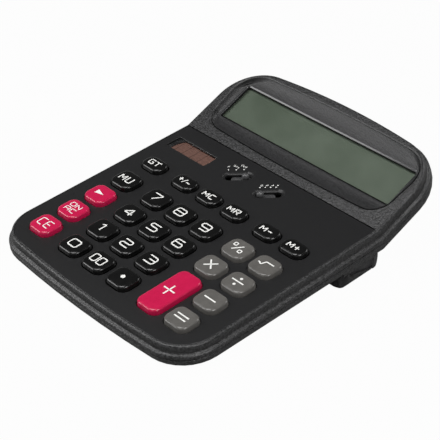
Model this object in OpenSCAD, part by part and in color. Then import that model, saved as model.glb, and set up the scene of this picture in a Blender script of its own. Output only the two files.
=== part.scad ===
// Desk calculator with a tilted display head, 29 sprung keys and a fold-out stand.
// The case frame has x across, y from the front edge to the rear and z out of the
// key plate; place() sets that frame down on its feet.

/* [Case] */
// Width of the case over its side walls
case_w = 151.4; // [150.4:0.2:152.4]
// Distance from the front edge to the fold where the display head starts
fold_y = 137.3; // [137:0.1:137.6]
// Length of the display head up its slope
head_len = 58.5; // [58:0.5:60]
// Slope of the display head over the key plate, degrees
head_tilt = 20; // [18:0.5:21]
// Radius of the front corners in plan
front_corner_r = 23; // [21:0.5:25]
// Radius of the rear corners in plan
rear_corner_r = 29; // [28:0.5:30]
// Radius of the bowed front edge
front_bow_r = 740; // [650:10:1000]
// Radius of the bowed rear edge
rear_bow_r = 485; // [450:5:600]
// Depth of the joint between the two case halves below the key plate
joint_z = 7.6; // [7.4:0.1:7.7]
// Depth of the underside below the key plate
floor_z = 12.4; // [12.2:0.1:12.8]
// Share by which the case is deeper at the fold than at the front edge
wedge = 0.18; // [0.14:0.01:0.2]
// Wall thickness of the mouldings
wall = 1.8; // [1.6:0.1:2]

/* [Key plate] */
// Thickness of the smooth key plate
plate_t = 1.2; // [1:0.1:1.3]
// Width of the textured rim left round the key plate
plate_rim = 1.1; // [1:0.1:1.6]
// Corner radius at the rear of the key plate
plate_corner_r = 1.5; // [1:0.5:4]

/* [Keys] */
// Pitch of the number key columns
col_pitch = 19.5; // [19:0.1:19.8]
// Pitch of the key rows
row_pitch = 18.1; // [17.8:0.1:18.3]
// Width of a key cap at the plate
key_w = 15.8; // [15.2:0.1:16]
// Depth of a regular key cap at the plate
key_d = 14.3; // [13.6:0.1:14.4]
// Depth of a key cap in the top row
small_key_d = 10.8; // [10.2:0.1:11.2]
// Height of a key cap over the plate
key_h = 2.8; // [2.7:0.1:3.2]
// Corner radius of a key cap
key_r = 4.6; // [4:0.1:5]
// Distance from the front edge to the first key row
first_row_y = 22.5; // [22.3:0.1:22.7]

/* [Display] */
// Width of the display window
window_w = 127.8; // [126:0.1:128]
// Depth of the display window
window_d = 24.7; // [24:0.1:25.2]
// Width of the dished frame round the window
bezel_w = 135.4; // [135:0.1:136]
// Depth of the dished frame
bezel_d = 42.6; // [42:0.1:43]
// Drop of the frame from its rim to the window
bezel_drop = 3; // [2.6:0.1:3]
// Distance from the fold to the front of the frame
bezel_y = 7.1; // [6.8:0.1:7.4]

/* [Stand] */
// Distance from the front edge to the stand's hinge line
hinge_y = 118.8; // [118.6:0.1:119]
// Depth of the hinge line below the key plate
hinge_z = 13.8; // [13.7:0.1:13.9]
// Outer radius of the stand's foot bar about the hinge line
stand_r = 17.8; // [17.6:0.1:18]
// Radius of the hinge pins
pin_r = 1.9; // [1.6:0.1:2]

/* [Hidden] */
$fn = 48;
eps = 0.01;

// names of the keys, column by column from the front
KEY_NAMES = [
    ["key_clear_entry", "key_on_clear", "key_backspace", "key_mark_up", "key_grand_total"],
    ["key_0", "key_1", "key_4", "key_7", "key_sign_change"],
    ["key_00", "key_2", "key_5", "key_8", "key_memory_clear"],
    ["key_point", "key_3", "key_6", "key_9", "key_memory_recall"],
    ["key_plus", "", "key_multiply", "key_percent", "key_memory_minus"],
    ["key_equals", "key_minus", "key_divide", "key_square_root", "key_memory_plus"]
];

// key grid
col_x = [-54, -29, -29 + col_pitch, -29 + 2 * col_pitch, 34.4, 53.9];
top_row_extra = 1.9;
row_y = [for (row = [0:4]) first_row_y + row * row_pitch + (row == 4 ? top_row_extra : 0)];
tall_key_d = row_pitch + key_d + 0.8;
key_gap = 0.25;
flange_lip = 0.8;
flange_t = 1;
key_travel = 1.8;
pink = [0.78, 0.13, 0.3];
black = [0.07, 0.07, 0.075];
grey = [0.3, 0.3, 0.29];

// heights inside the case
roof_t = 2.4;
seat_depth = 2;
board_z = -7.4;
board_t = 1.2;
mat_t = 0.8;
stem_z = -3.7;
board_half_w = 63.4;
board_y0 = 12;
board_y1 = 129;

// feet and the lean of the whole case
front_foot_y = 14;
front_foot_depth = 12.8;
rear_foot_y = 115.5;
rear_foot_depth = 22.4;
case_tilt = atan((rear_foot_depth - front_foot_depth) / (rear_foot_y - front_foot_y));
case_lift = front_foot_depth * cos(case_tilt) - front_foot_y * sin(case_tilt);
wall_high = 6.4;
wall_low = 9.5;
front_reach = wall_high * depth_at(0) * sin(case_tilt);
low_edge = [0.4, wall_low + 1.3];
rear_depth = low_edge[1] * depth_at(fold_y);
rear_y = fold_y + (head_len - low_edge[0]) * cos(head_tilt) + rear_depth * sin(head_tilt);
rear_z = (head_len - low_edge[0]) * sin(head_tilt) - rear_depth * cos(head_tilt);
floor_slope = atan(floor_z * wedge / fold_y);
rear_reach = rear_y * cos(case_tilt) - rear_z * sin(case_tilt);
centre_y = (front_reach + rear_reach) / 2;

// ---------------------------------------------------------------- frames and skins

// sets the case frame on its feet, centred over the origin
module place() {
    translate([0, -centre_y, case_lift]) rotate([case_tilt, 0, 0]) children();
}

// moves the fold line to the origin and leans back with the display head
module on_head() {
    translate([0, fold_y, 0]) rotate([head_tilt, 0, 0]) children();
}

function arc(c, r, a0, a1, n) =
    [for (i = [0:n]) c + r * [cos(a0 + (a1 - a0) * i / n), sin(a0 + (a1 - a0) * i / n)]];

function rest(list) = [for (i = [1:len(list) - 1]) list[i]];

// a box with round corners, five points to a corner unless asked otherwise
function round_box(w, d, r, n = 4) = concat(
    arc([w / 2 - r, d / 2 - r], r, 0, 90, n), arc([r - w / 2, d / 2 - r], r, 90, 180, n),
    arc([r - w / 2, r - d / 2], r, 180, 270, n), arc([w / 2 - r, r - d / 2], r, 270, 360, n));

// bowed end of the case: where the corner arc sits and how far the bow turns before it
function corner_x(r) = case_w / 2 - r;
function corner_drop(bow, r) = bow - sqrt(pow(bow - r, 2) - pow(corner_x(r), 2));
function bow_angle(bow, r) = asin(corner_x(r) / (bow - r));

// the case outline laid flat, an even distance inside the outer wall
function case_outline(inset) =
    let (length = fold_y + head_len,
         half_w = case_w / 2 - inset,
         fa = bow_angle(front_bow_r, front_corner_r),
         ra = bow_angle(rear_bow_r, rear_corner_r),
         fc = [corner_x(front_corner_r), corner_drop(front_bow_r, front_corner_r)],
         rc = [corner_x(rear_corner_r), length - corner_drop(rear_bow_r, rear_corner_r)],
         fr = front_corner_r - inset,
         rr = rear_corner_r - inset)
    concat(
        arc(fc, fr, 270 + fa, 360, 8),
        [[half_w, fold_y]],
        arc(rc, rr, 0, 90 - ra, 8),
        rest(arc([0, length - rear_bow_r], rear_bow_r - inset, 90 - ra, 90 + ra, 8)),
        rest(arc([-rc.x, rc.y], rr, 90 + ra, 180, 8)),
        [[-half_w, fold_y]],
        arc([-fc.x, fc.y], fr, 180, 270 - fa, 8),
        [for (i = [1:5]) [0, front_bow_r] + (front_bow_r - inset)
            * [sin((i / 3 - 1) * fa), -cos((i / 3 - 1) * fa)]]);
fold_right = 9;
fold_left = 35;

// how much deeper than drawn the wedge makes the case at a distance from the front
function depth_at(y) = 1 + wedge * (min(y, fold_y) / fold_y - 0.5);

// lifts a flat point on to the folded case at height h, scaled by the wedge
function folded(p, h) =
    let (up = p.y - fold_y, z = h * depth_at(p.y))
    abs(up) < eps ? [p.x, fold_y - z * tan(head_tilt / 2), z]
    : up < 0 ? [p.x, p.y, z]
    : [p.x, fold_y + up * cos(head_tilt) - z * sin(head_tilt),
        up * sin(head_tilt) + z * cos(head_tilt)];

// closes a stack of equal rings into one solid; caps are lists of faces on a ring
module skin(rings, top_caps, bottom_caps, looped = false) {
    n = len(rings[0]);
    m = len(rings);
    last = (m - 1) * n;
    steps = looped ? m : m - 1;
    sides = [for (j = [0:steps - 1]) for (i = [0:n - 1])
        let (a = j * n, b = ((j + 1) % m) * n, k = (i + 1) % n) [a + i, a + k, b + k, b + i]];
    tops = [for (face = top_caps) [for (i = [len(face) - 1:-1:0]) face[i]]];
    bottoms = [for (face = bottom_caps) [for (i = face) last + i]];
    polyhedron([for (ring = rings) for (p = ring) p], concat(sides, tops, bottoms), convexity = 8);
}

// a solid with the folded outline of the case, from a profile of [inset, height] pairs
module case_skin(profile) {
    rings = [for (step = profile) [for (p = case_outline(step[0])) folded(p, step[1])]];
    n = len(rings[0]);
    head = [for (i = [fold_right:fold_left]) i];
    body = concat([for (i = [0:fold_right]) i], [for (i = [fold_left:n - 1]) i]);
    skin(rings, [body, head], [body, head]);
}

// a solid from stacked flat outlines: each entry is [outline, height]
module stack(layers) {
    rings = [for (layer = layers) [for (p = layer[0]) [p.x, p.y, layer[1]]]];
    face = [for (i = [0:len(rings[0]) - 1]) i];
    skin(rings, [face], [face]);
}

module plate(outline, z, t) {
    translate([0, 0, z]) linear_extrude(t) polygon(outline);
}

// ---------------------------------------------------------------- key plate and case halves

plate_inset = 2.5 + plate_rim;
function plate_outline(gap = 0) =
    let (inset = plate_inset - gap,
         fa = bow_angle(front_bow_r, front_corner_r),
         fc = [corner_x(front_corner_r), corner_drop(front_bow_r, front_corner_r)],
         fr = front_corner_r - inset,
         pr = plate_corner_r,
         px = case_w / 2 - inset - pr,
         py = fold_y - 0.5 + gap - pr)
    concat(
        arc(fc, fr, 270 + fa, 360, 8), arc([px, py], pr, 0, 90, 4), arc([-px, py], pr, 90, 180, 4),
        arc([-fc.x, fc.y], fr, 180, 270 - fa, 8),
        [for (i = [1:5]) [0, front_bow_r] + (front_bow_r - inset)
            * [sin((i / 3 - 1) * fa), -cos((i / 3 - 1) * fa)]]);

// solar cell and slide switch places on the plate
solar_x = -51.1;
solar_y = 120.8;
solar_w = 31.2;
solar_d = 10.2;
switch_y = 121.9;
rounding_x = -14.6;
decimal_x = 9.2;
rounding_rest = 4.2;
decimal_rest = -4.35;
switch_angle = 45;
dish_l = 18.6;
dish_w = 8.4;
dish_depth = 1.2;
slot_l = 14.2;
slot_w = 4.8;
dish_base_z = -2.5;
runner_t = 0.8;
knob_r = 2.1;

// posts under the key plate that carry the board
post_x = [-41.5, 22.2];
post_y = [31.5, 67.7, 108.5];
post_r = 2;
board_screw_r = 0.9;

// screw posts that join the case halves: [x, distance along the flat outline]
case_posts = [[67.4, 22], [67.4, 92], [63, 139.9]];
case_screw_r = 1.2;

// stands its children on the joint between the case halves, at each post
module at_case_posts() {
    for (side = [-1, 1]) for (p = case_posts) {
        down = [0, 0, -joint_z * depth_at(p.y)];
        if (p.y < fold_y) translate([side * p.x, p.y, 0] + down) children();
        else on_head() translate([side * p.x, p.y - fold_y, 0] + down) children();
    }
}

module at_board_posts() {
    for (x = post_x) for (y = post_y) translate([x, y, 0]) children();
}

module top_case() color(black) place() {
    difference() {
        union() {
            difference() {
                case_skin([
                    [3.5, 0], [3, -0.12], [2.65, -0.45], [2.5, -1], [2.35, -3.4], [2.1, -4.1],
                    [1.6, -4.6], [1.1, -4.75], [0.5, -5], [0.1, -5.5], [0, -wall_high],
                    [0, -joint_z + 0.5], [0.35, -joint_z], [4.5, -joint_z], [4.5, -roof_t]]);
                // pocket that takes the key plate and the opening under it
                plate(plate_outline(0.1), -plate_t, 2);
                plate(round_rect_at(0, 71.5, 129, 122, 14), -roof_t - 1, 4);
                // pocket under the solar window, past the edge of that opening
                translate([solar_x, solar_y, -3]) cube([solar_w + 5.2, solar_d + 4.2, 6], center = true);
                on_head() {
                    translate([0, bezel_y + bezel_d / 2, 0]) {
                        plate(bezel_foot(0.3), -seat_depth, 4);
                        plate(bezel_foot(-0.75), -roof_t - 1, 4);
                    }
                }
            }
            at_case_posts() translate([0, 0, 0.1]) cylinder(r = 2.8, h = 5.8);
            // ribs that hold the display holder endwise
            on_head() for (side = [-1, 1])
                translate([side * (window_w / 2 + 3.2) - 0.5, 14, -8.6]) cube([1, 10, 6.2]);
        }
        at_case_posts() translate([0, 0, -1]) cylinder(r = case_screw_r, h = 5);
    }
}

// a round-cornered box outline moved to a place
function round_rect_at(x, y, w, d, r, n = 4) = [for (p = round_box(w, d, r, n)) [p.x + x, p.y + y]];

module at_switches() {
    for (x = [rounding_x, decimal_x]) translate([x, switch_y, 0]) rotate(switch_angle) children();
}

// sloped finger dish of a slide switch: a trough with a cone at each end
module dish() {
    low_r = slot_w / 2 + 0.2;
    half = (dish_l - dish_w) / 2;
    for (side = [-1, 1]) translate([side * half, 0, -dish_depth])
        cylinder(r1 = low_r, r2 = dish_w / 2, h = dish_depth);
    rotate([90, 0, 90]) translate([0, 0, -half]) linear_extrude(2 * half)
        polygon([[-dish_w / 2, 0], [-low_r, -dish_depth], [low_r, -dish_depth], [dish_w / 2, 0]]);
}

module key_plate() color(black) place() difference() {
    union() {
        plate(plate_outline(), -plate_t, plate_t);
        at_board_posts() translate([0, 0, board_z]) cylinder(r = post_r, h = -board_z - plate_t / 2);
        at_switches() plate(round_box(dish_l + 0.6, dish_w + 0.6, dish_w / 2 + 0.2, 8),
            dish_base_z, -dish_base_z - plate_t / 2);
    }
    for (c = [0:5]) for (r = [0:4]) if (KEY_NAMES[c][r] != "")
        translate(key_place(c, r)) plate(round_box(key_w + 2 * key_gap,
            key_depth(c, r) + 2 * key_gap, key_r + key_gap), -plate_t - 1, plate_t + 2);
    translate([solar_x, solar_y, 0]) plate(round_box(solar_w, solar_d, 0.8, 2), -plate_t - 1, 4);
    at_switches() {
        dish();
        plate(round_box(slot_l, slot_w, slot_w / 2 - eps, 8), -4, 5);
    }
    at_board_posts() translate([0, 0, board_z - eps]) cylinder(r = board_screw_r - 0.1, h = 5);
}

// ---------------------------------------------------------------- keys

function key_place(c, r) = [col_x[c], (c == 4 && r == 0) ? (row_y[0] + row_y[1]) / 2 : row_y[r], 0];
function key_depth(c, r) = (c == 4 && r == 0) ? tall_key_d : r == 4 ? small_key_d : key_d;
function key_colour(c, r) =
    (c == 0 && r < 3) || (c == 4 && r == 0) ? pink : (c > 3 && r < 4) ? grey : black;

// crowned cap with a retaining flange, hollow underneath, on a plunger for its dome
module key(c, r) {
    d = key_depth(c, r);
    color(key_colour(c, r)) place() translate(key_place(c, r)) {
        difference() {
            union() {
                stack([for (step = [[4.2, key_h], [2.4, key_h - 0.1], [1.5, key_h - 0.22],
                    [0.8, key_h - 0.5], [0.5, key_h - 0.78], [0.35, key_h - 1.1], [0, -0.3],
                    [0, -plate_t - 0.1 - flange_t]])
                    [round_box(key_w - 2 * step[0], d - 2 * step[0],
                        max(key_r - step[0], 0.8)), step[1]]]);
                plate(round_box(key_w + 2 * flange_lip, d + 2 * flange_lip, key_r + flange_lip),
                    -plate_t - 0.1 - flange_t, flange_t);
            }
            plate(round_box(key_w - 4.4, d - 4.4, 2), -4, 4 + key_h - 1.6);
        }
        translate([0, 0, stem_z]) cylinder(r = 2.2, h = key_h - 1.2 - stem_z);
    }
}

// ---------------------------------------------------------------- display

bezel_front_r = 11;
bezel_rear_r = 18;
bezel_flare = 0.0014;
bezel_bow = 1.2;

// point i of n along a bowed edge from a to b
function bowed(a, b, bow, n) = [for (i = [1:n - 1])
    let (t = i / n) a + (b - a) * t + [0, bow * 4 * t * (1 - t)]];

// outline of the frame: round corners, larger at the rear, bowed long edges, sides that flare
function bezel_ring(w, d, rear_r, front_r, bow) =
    let (back = [w / 2 - rear_r, d / 2 - rear_r],
         front = [w / 2 - front_r, front_r - d / 2])
    concat(
        arc(back, rear_r, 0, 88, 6), bowed([back.x, d / 2], [-back.x, d / 2], bow, 6),
        arc([-back.x, back.y], rear_r, 92, 180, 6), arc([-front.x, front.y], front_r, 180, 268, 6),
        bowed([-front.x, -d / 2], [front.x, -d / 2], -bow, 6), arc(front, front_r, 272, 360, 6));
function bezel_foot(gap = 0) = [for (p = bezel_ring(bezel_w + 2 * gap, bezel_d + 2 * gap,
    bezel_rear_r + gap, bezel_front_r + gap, bezel_bow)) [p.x * (1 + bezel_flare * p.y), p.y]];
window_y = 16.4 + window_d / 2;
function window_ring() = [for (p = bezel_ring(window_w, window_d, 1.2, 1.2, 0))
    [p.x, p.y + window_y - bezel_y - bezel_d / 2]];

// ring at a share of the way from the frame's rim to the window
function bezel_step(share, z) =
    let (foot = bezel_foot(), lip = window_ring())
    [for (i = [0:len(foot) - 1]) let (p = foot[i] + (lip[i] - foot[i]) * share) [p.x, p.y, z]];

// dished frame: flush with the head at its rim, level at the window, seated on a ledge
module display_bezel() color(black) place() on_head() {
    dish = [for (t = [1, 0.82, 0.64, 0.47, 0.32, 0.18, 0.07, 0])
        bezel_step(t, -0.1 - (bezel_drop - 0.1) * (2 * t - t * t))];
    seat = [for (p = bezel_foot(-0.9)) [p.x, p.y, 0.05 - seat_depth]];
    translate([0, bezel_y + bezel_d / 2, 0]) skin(
        concat([bezel_step(1, -bezel_drop - 1)], dish,
            [bezel_step(0, 0.05 - seat_depth), seat, bezel_step(0.6, -bezel_drop - 1)]),
        [], [], looped = true);
}

module display_window() color([0.8, 0.85, 0.85, 0.4]) place() on_head()
    translate([0, window_y, -bezel_drop - 1.95])
        plate(round_box(window_w + 3.6, window_d + 2.6, 1.5), 0, 0.9);

module lcd_panel() color([0.52, 0.56, 0.5]) place() on_head()
    translate([0, window_y, -bezel_drop - 4.5]) {
        translate([0, -0.5, 0]) linear_extrude(1.1)
            square([window_w + 2.4, window_d + 3.4], center = true);
        translate([0, 0.2, 1.1]) linear_extrude(1.1)
            square([window_w + 2.4, window_d + 2], center = true);
    }

module lcd_holder() color([0.85, 0.85, 0.82]) place() on_head()
    translate([0, window_y - 0.5, -bezel_drop - 6]) difference() {
        plate(round_box(window_w + 5, window_d + 6, 3.5), 0, 3.7);
        translate([0, 0, 1.45]) linear_extrude(3)
            square([window_w + 2.6, window_d + 3.6], center = true);
        // the front wall is lower where the connector crosses it
        translate([ribbon_x, -window_d / 2 - 4, 2.5]) cube([ribbon_w + 2, 3, 2]);
    }

// [y, z] in the case frame of a point at [along, height] on the head
function head_point(u, h) = [fold_y + u * cos(head_tilt) - h * sin(head_tilt),
    u * sin(head_tilt) + h * cos(head_tilt)];

ribbon_x = 21;
ribbon_w = 36;

// flat connector from the board to the front ledge of the display
ribbon_path = [[124, board_z + 0.25], [130, board_z + 0.25], head_point(3, -7),
    head_point(9.8, -bezel_drop - 3.2), head_point(15.2, -bezel_drop - 3.15)];
module lcd_ribbon() color([0.75, 0.55, 0.25]) place() rotate([90, 0, 90])
    translate([0, 0, ribbon_x + 1]) linear_extrude(ribbon_w)
        polygon([for (p = ribbon_path) p, for (i = [4:-1:0]) ribbon_path[i] + [0.06, -0.2]]);

// ---------------------------------------------------------------- solar cell and slide switches

module solar_window() color([0.8, 0.85, 0.85, 0.4]) place()
    translate([solar_x, solar_y, 0]) plate(round_box(solar_w + 4, solar_d + 3, 1), -plate_t - 0.6, 0.6);

module solar_cell() color([0.35, 0.17, 0.14]) place()
    translate([solar_x, solar_y, -plate_t - 1.8]) linear_extrude(1.1)
        square([solar_w + 3, solar_d + 2], center = true);

module solar_leads() color([0.7, 0.1, 0.1]) place() for (x = [-4, 4])
    translate([solar_x + x, solar_y, board_z]) cylinder(r = 0.5, h = -board_z - plate_t - 1.85, $fn = 24);

// ball knob on a flat runner that slides under the dish
module slider(x, offset) color([0.1, 0.1, 0.1]) place()
    translate([x, switch_y, 0]) rotate(switch_angle) translate([offset, 0, dish_base_z - 0.1]) {
        translate([0, 0, -runner_t]) plate(round_box(16, 6.4, 3.19, 8), 0, runner_t);
        cylinder(r = knob_r - 0.5, h = 1.4);
        translate([0, 0, knob_r - 0.2]) sphere(r = knob_r);
    }

module wiper(x, offset) color([0.8, 0.65, 0.3]) place() translate([x, switch_y, 0])
    rotate(switch_angle) translate([offset, 0, dish_base_z - 0.12 - runner_t]) {
        translate([0, 0, -0.25]) linear_extrude(0.25) square([5.6, 4.6], center = true);
        // two sprung legs that touch the board
        for (side = [-1, 1]) translate([0, side * 1.6, 0]) rotate([90, 0, 0])
            translate([0, 0, -0.5]) linear_extrude(1) polygon([
                [-2.8, 0], [-2.6, 0], [1.6, -3.4], [2.4, -3.4], [2.8, -3], [2.8, -3.3], [2.4, -3.65],
                [1.5, -3.65], [-2.8, -0.2]]);
    }

// ---------------------------------------------------------------- board and key mat

module dome_mat() color([0.75, 0.75, 0.72]) place() difference() {
    dome_h = stem_z - board_z - mat_t;
    union() {
        plate(round_rect_at(0, 60, 125.6, 92, 3), board_z, mat_t);
        at_keys() translate([0, 0, board_z + mat_t - eps]) cylinder(r1 = 4.2, r2 = 2.6, h = dome_h + eps);
    }
    at_keys() translate([0, 0, board_z - eps]) cylinder(r1 = 3.8, r2 = 2, h = dome_h - 0.4);
    at_board_posts() translate([0, 0, board_z - 1]) cylinder(r = post_r + 0.4, h = 3);
}

module at_keys() {
    for (c = [0:5]) for (r = [0:4]) if (KEY_NAMES[c][r] != "") translate(key_place(c, r)) children();
}

module main_board() color([0.2, 0.35, 0.15]) place() difference() {
    plate(round_rect_at(0, (board_y0 + board_y1) / 2, 2 * board_half_w, board_y1 - board_y0, 8),
        board_z - board_t, board_t);
    at_board_posts() translate([0, 0, board_z - 2]) cylinder(r = board_screw_r + 0.2, h = 3);
}

module chip_cover() color([0.1, 0.1, 0.1]) place() translate([-30, 96, board_z - board_t])
    rotate_extrude() polygon([[0, 0], [6, 0], [5.6, -0.5], [4.6, -0.95], [3, -1.25], [0, -1.4]]);

// small screw pointing up: thread, pan head below, cross recess
module screw(r, length, head_r, head_t) {
    cylinder(r = r, h = length);
    difference() {
        translate([0, 0, -head_t]) cylinder(r = head_r, h = head_t);
        for (a = [0, 90]) rotate(a) translate([-head_r * 0.6, -0.2, -head_t - eps])
            cube([head_r * 1.2, 0.4, head_t * 0.5]);
    }
}

module board_screws() color("silver") place() at_board_posts()
    translate([0, 0, board_z - board_t]) screw(board_screw_r - 0.1, 4.4, 1.7, 0.9);

// ---------------------------------------------------------------- underside

// housing that raises the rear: its front, bottom, sides and the slots for the stand's arms
pod_front_y = 107.5;
pod_top_z = -9.5;
pod_bottom_z = -21.8;
pod_half_w = 74;
pod_r = stand_r - 3.2;
cheek_t = 1;
slot_x0 = 69.8;
slot_x1 = pod_half_w - cheek_t;
slot_front_y = hinge_y - 6.6;
slot_roof_z = -9.6;

// side view in [y, z]: sloped front, flat bottom, rear rounded about the hinge line
function pod_side() = concat(
    [[pod_front_y + 14, pod_top_z], [pod_front_y - 0.8, pod_top_z], [pod_front_y, pod_bottom_z + 2.6],
        [pod_front_y + 0.7, pod_bottom_z + 0.8], [pod_front_y + 2.4, pod_bottom_z]],
    arc([hinge_y, -hinge_z], pod_r, -33, 0, 5),
    [[hinge_y + pod_r, pod_top_z]]);

// end view in [x, z] with the lower edges of the sides bevelled
function pod_end() =
    let (side = [[pod_half_w, -5], [pod_half_w, pod_bottom_z + 0.8],
        [pod_half_w - 0.8, pod_bottom_z - eps]])
    concat(side, [for (i = [2:-1:0]) [-side[i].x, side[i].y]]);

module pod() intersection() {
    rotate([90, 0, 90]) translate([0, 0, -100]) linear_extrude(200) polygon(pod_side());
    rotate([90, 0, 0]) translate([0, 0, -200]) linear_extrude(300) polygon(pod_end());
    plate(round_rect_at(0, pod_front_y + 25, 2 * pod_half_w, 50, 7, 8), -30, 40);
}

// window in the outer cheek, in [y, z] from the hinge: round at the pin, humped, open at the rear
window_side = concat(arc([0, 0], 3.6, 75, 250, 10), [[3, -3.7], [7, -5], [10.1, -6], [13.2, -6.4],
    [16, -6.4], [16, 0.4], [13.8, 0.4], [13.4, 1.6], [11.6, 3.4], [8.5, 3.9], [3.9, 3.4]]);

// arm of the stand in the same view; its lower edge runs behind the cheek
arm_side = concat(arc([0, 0], 3.4, 75, 230, 9), [[0, -4.6], [3, -5.2], [10, -7], [13.6, -7.1],
    [15.6, -6.6], [15.6, 0.2], [13.3, 0.2], [12, 1.4], [8.5, 2.9], [3.9, 3.1]]);

battery_x = 18;
door_w = 26;
door_d = 17;
door_y = 121;
door_t = 1.6;
door_hinge_y = door_y - door_d / 2 + door_t / 2 + 0.3;
door_pin_r = 0.5;
pod_floor_z = pod_bottom_z + wall;

module bottom_case() color(black) place() {
    inner = -floor_z + wall;
    difference() {
        union() {
            difference() {
                union() {
                    case_skin([
                        [4.4, inner], [2.6, inner + 0.6], [2.2, inner + 1.6], [2.2, -joint_z],
                        [0.35, -joint_z], [0, -joint_z - 0.5], [0, -wall_low],
                        [low_edge[0], -low_edge[1]], [1.5, -floor_z + 0.5], [3.6, -floor_z]]);
                    pod();
                }
                // room inside the housing
                translate([-66, pod_front_y + 2.4, pod_floor_z]) cube([132, 20.2, 14]);
            }
            // roofs over the slots of the arms
            for (side = [-1, 1]) translate([side * (slot_x0 + 2) - 3.6, slot_front_y - 2, -13])
                cube([7.2, 22, 13 + slot_roof_z + 1.4]);
            at_case_posts() translate([0, 0, -5.1]) cylinder(r = 3, h = 5);
            battery_walls();
        }
        for (side = [-1, 1]) {
            arm_slot(side);
            translate([side * 67, hinge_y, -hinge_z]) rotate([0, side * 90, 0])
                cylinder(r = pin_r + 0.05, h = 3);
        }
        at_case_posts() {
            translate([0, 0, -7]) cylinder(r = case_screw_r + 0.3, h = 8);
            translate([0, 0, -8]) cylinder(r = 2.7, h = 5);
        }
        // opening for the battery door, with its hinge holes and a step that it closes on
        translate([battery_x, door_y, pod_bottom_z]) {
            translate([-door_w / 2, -door_d / 2, -1]) cube([door_w, door_d, 1.05 + door_t]);
            translate([-11.5, -7, -1]) cube([23, 14, 7]);
        }
        translate([battery_x, door_hinge_y, pod_bottom_z + door_t / 2]) rotate([0, 90, 0])
            cylinder(r = door_pin_r + 0.05, h = door_w + 2.4, center = true);
    }
}

// slot for one arm, open below and behind, with a window in its outer cheek
module arm_slot(side) {
    x0 = side > 0 ? slot_x0 : -slot_x1;
    translate([x0, slot_front_y, -30]) cube([slot_x1 - slot_x0, 20, 30 + slot_roof_z]);
    translate([x0, slot_front_y + 19, -30]) cube([slot_x1 - slot_x0, 6, 30.4 - hinge_z]);
    translate([side * (pod_half_w - 1), hinge_y, -hinge_z]) rotate([90, 0, 90])
        translate([0, 0, -2]) linear_extrude(4) polygon(window_side);
}

// chamber round the button cell, over the battery door
module battery_walls() translate([battery_x, door_y, pod_bottom_z + eps]) difference() {
    union() {
        translate([-15, -10.5, 0]) cube([30, 21, 3.2]);
        translate([-12.7, -8.2, 0]) cube([25.4, 16.4, 8.8]);
    }
    translate([-11.5, -7, -1]) cube([23, 14, 12]);
}

module case_screws() color("silver") place() at_case_posts()
    translate([0, 0, -3]) screw(case_screw_r - 0.05, 5.4, 2.2, 1.2);

cell_z = pod_bottom_z + door_t + 0.15;
cell_r = 5.8;

module button_cell() color("silver") place() translate([battery_x, door_y, cell_z]) {
    cylinder(r = cell_r, h = 3.6);
    translate([0, 0, 3.6]) cylinder(r = cell_r - 1.2, h = 0.6);
}

// flap with a hinge barrel along its front edge and finger grooves at the rear
module battery_door() color(black) place() translate([battery_x, 0, pod_bottom_z]) {
    difference() {
        union() {
            translate([0.3 - door_w / 2, door_hinge_y, 0])
                cube([door_w - 0.6, door_y + door_d / 2 - 0.3 - door_hinge_y, door_t]);
            translate([0, door_hinge_y, door_t / 2]) rotate([0, 90, 0])
                cylinder(r = door_t / 2, h = door_w - 0.6, center = true);
        }
        for (k = [0:2]) translate([-5, door_y + door_d / 2 - 2.6 - 1.6 * k, -eps]) cube([10, 0.8, 0.5]);
    }
    translate([0, door_hinge_y, door_t / 2]) rotate([0, 90, 0])
        cylinder(r = door_pin_r, h = door_w + 2, center = true);
}

// leaf springs that touch the side and the top of the cell, in [across, z]
module leaf(x, w, path) translate([battery_x + x, door_y, 0]) rotate([90, 0, 0])
    translate([0, 0, -w / 2]) linear_extrude(w) polygon(path);

module positive_contact() color([0.8, 0.8, 0.78]) place() leaf(0, 4, [
    [cell_r + 0.05, cell_z], [cell_r + 0.35, cell_z], [cell_r + 0.35, board_z - board_t - 0.3],
    [cell_r + 4, board_z - board_t - 0.3], [cell_r + 4, board_z - board_t - 0.02],
    [cell_r + 0.05, board_z - board_t - 0.02]]);

module negative_contact() color([0.8, 0.8, 0.78]) place() leaf(0, 4, [
    [-10.4, board_z - board_t - 0.02], [-8.6, board_z - board_t - 0.02], [-8.3, -14], [1.6, cell_z + 4.5],
    [3.4, cell_z + 4.6], [3.4, cell_z + 4.35], [1.5, cell_z + 4.22], [-8.6, -14.3],
    [-8.9, board_z - board_t - 0.3], [-10.4, board_z - board_t - 0.3]]);

// ---------------------------------------------------------------- stand and feet

arm_gap = 0.15;
arm_x1 = slot_x1 - arm_gap;
arm_t = arm_x1 - slot_x0 - arm_gap;
bar_r = stand_r - 2.6;
bar_half_w = pod_half_w - 0.1;

// foot bar in [y, z] from the hinge: two arcs about it, closed by a rounded lower edge
bar_side = concat(arc([0, 0], stand_r, 0.4, -22, 6), [[stand_r - 1.9, -7.4], [stand_r - 3.2, -7.7]],
    arc([0, 0], bar_r, -29, 0.4, 5));

module stand() color([0.12, 0.12, 0.12]) place() translate([0, hinge_y, -hinge_z]) difference() {
    union() {
        for (side = [-1, 1]) translate([side * (arm_x1 - arm_t / 2), 0, 0]) rotate([90, 0, 90])
            translate([0, 0, -arm_t / 2]) linear_extrude(arm_t) polygon(arm_side);
        rotate([90, 0, 90]) translate([0, 0, -bar_half_w]) linear_extrude(2 * bar_half_w)
            polygon(bar_side);
        for (side = [-1, 1]) translate([side * (arm_x1 - arm_t), 0, 0]) rotate([0, -side * 90, 0])
            cylinder(r = pin_r, h = 2.4);
    }
    // ring mark round each pin
    for (side = [-1, 1]) translate([side * (arm_x1 + 0.5), 0, 0]) rotate([0, -side * 90, 0])
        difference() {
            cylinder(r = 2.4, h = 0.8);
            cylinder(r = 2, h = 2);
        }
}

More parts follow.
